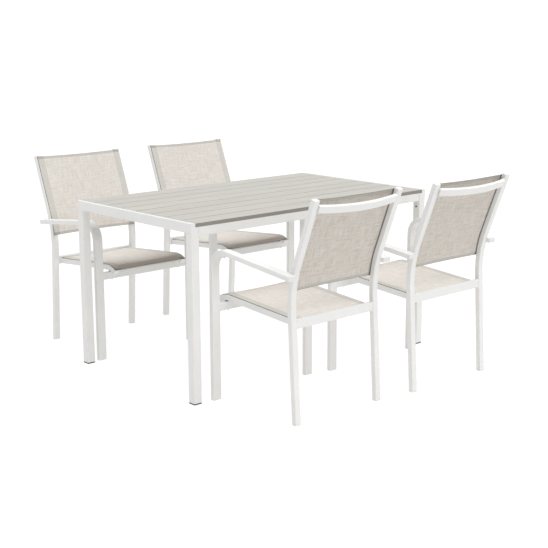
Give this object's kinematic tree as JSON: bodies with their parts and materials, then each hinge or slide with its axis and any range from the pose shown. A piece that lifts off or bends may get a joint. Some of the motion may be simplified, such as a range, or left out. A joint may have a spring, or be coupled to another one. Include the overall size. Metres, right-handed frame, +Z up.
{
  "type": "patio dining set",
  "caption": "Slatted-top metal patio table with stacking armchairs round it, each with bent tube arms that run into the front legs and stretched mesh fabric seat and back.",
  "frame": {"origin": "on the ground under the middle of the table", "axes": "+X along the table's length, +Y across the table towards chairs 1 and 2, +Z up"},
  "size_m": [1.38, 2.0074, 0.8896],
  "materials": {
    "frame_paint": "satin off-white powder coat",
    "slat_board": "light warm grey brushed composite board, matt",
    "sling_fabric": "woven coated mesh, beige melange",
    "pale_plastic": "moulded, matt",
    "dark_rubber": "moulded, matt",
    "dark_fixings": "dark zinc, dull"
  },
  "bodies": {
    "table": {"table_leg_front_left": "frame_paint", "table_leg_back_left": "frame_paint", "table_leg_back_right": "frame_paint", "table_leg_front_right": "frame_paint", "table_end_rail_left": "frame_paint", "table_end_rail_right": "frame_paint", "table_side_rail_front": "frame_paint", "table_side_rail_back": "frame_paint", "table_slat_bearers": "frame_paint", "table_slat_1": "slat_board", "table_slat_2": "slat_board", "table_slat_3": "slat_board", "table_slat_4": "slat_board", "table_slat_5": "slat_board", "table_slat_6": "slat_board", "table_slat_7": "slat_board", "table_slat_8": "slat_board", "table_slat_screws": "dark_fixings", "table_leg_bolts": "dark_fixings", "table_foot_caps": "dark_rubber"},
    "chair_1": {"chair_1_rear_posts": "frame_paint", "chair_1_arm_legs": "frame_paint", "chair_1_seat_rails": "frame_paint", "chair_1_front_bar": "frame_paint", "chair_1_rear_bar": "frame_paint", "chair_1_top_rail": "frame_paint", "chair_1_seat_sling": "sling_fabric", "chair_1_back_sling": "sling_fabric", "chair_1_caps": "pale_plastic", "chair_1_seat_fixings": "dark_fixings"},
    "chair_2": {"chair_2_rear_posts": "frame_paint", "chair_2_arm_legs": "frame_paint", "chair_2_seat_rails": "frame_paint", "chair_2_front_bar": "frame_paint", "chair_2_rear_bar": "frame_paint", "chair_2_top_rail": "frame_paint", "chair_2_seat_sling": "sling_fabric", "chair_2_back_sling": "sling_fabric", "chair_2_caps": "pale_plastic", "chair_2_seat_fixings": "dark_fixings"},
    "chair_3": {"chair_3_rear_posts": "frame_paint", "chair_3_arm_legs": "frame_paint", "chair_3_seat_rails": "frame_paint", "chair_3_front_bar": "frame_paint", "chair_3_rear_bar": "frame_paint", "chair_3_top_rail": "frame_paint", "chair_3_seat_sling": "sling_fabric", "chair_3_back_sling": "sling_fabric", "chair_3_caps": "pale_plastic", "chair_3_seat_fixings": "dark_fixings"},
    "chair_4": {"chair_4_rear_posts": "frame_paint", "chair_4_arm_legs": "frame_paint", "chair_4_seat_rails": "frame_paint", "chair_4_front_bar": "frame_paint", "chair_4_rear_bar": "frame_paint", "chair_4_top_rail": "frame_paint", "chair_4_seat_sling": "sling_fabric", "chair_4_back_sling": "sling_fabric", "chair_4_caps": "pale_plastic", "chair_4_seat_fixings": "dark_fixings"}
  },
  "joints": [
    {"name": "chair_1_slide", "type": "slide", "parent": "table", "child": "chair_1", "axis": [0, 1, 0], "range_m": [-0.33, 0.5]},
    {"name": "chair_2_slide", "type": "slide", "parent": "table", "child": "chair_2", "axis": [0, 1, 0], "range_m": [-0.33, 0.5]},
    {"name": "chair_3_slide", "type": "slide", "parent": "table", "child": "chair_3", "axis": [0, -1, 0], "range_m": [-0.33, 0.5]},
    {"name": "chair_4_slide", "type": "slide", "parent": "table", "child": "chair_4", "axis": [0, -1, 0], "range_m": [-0.33, 0.5]}
  ]
}
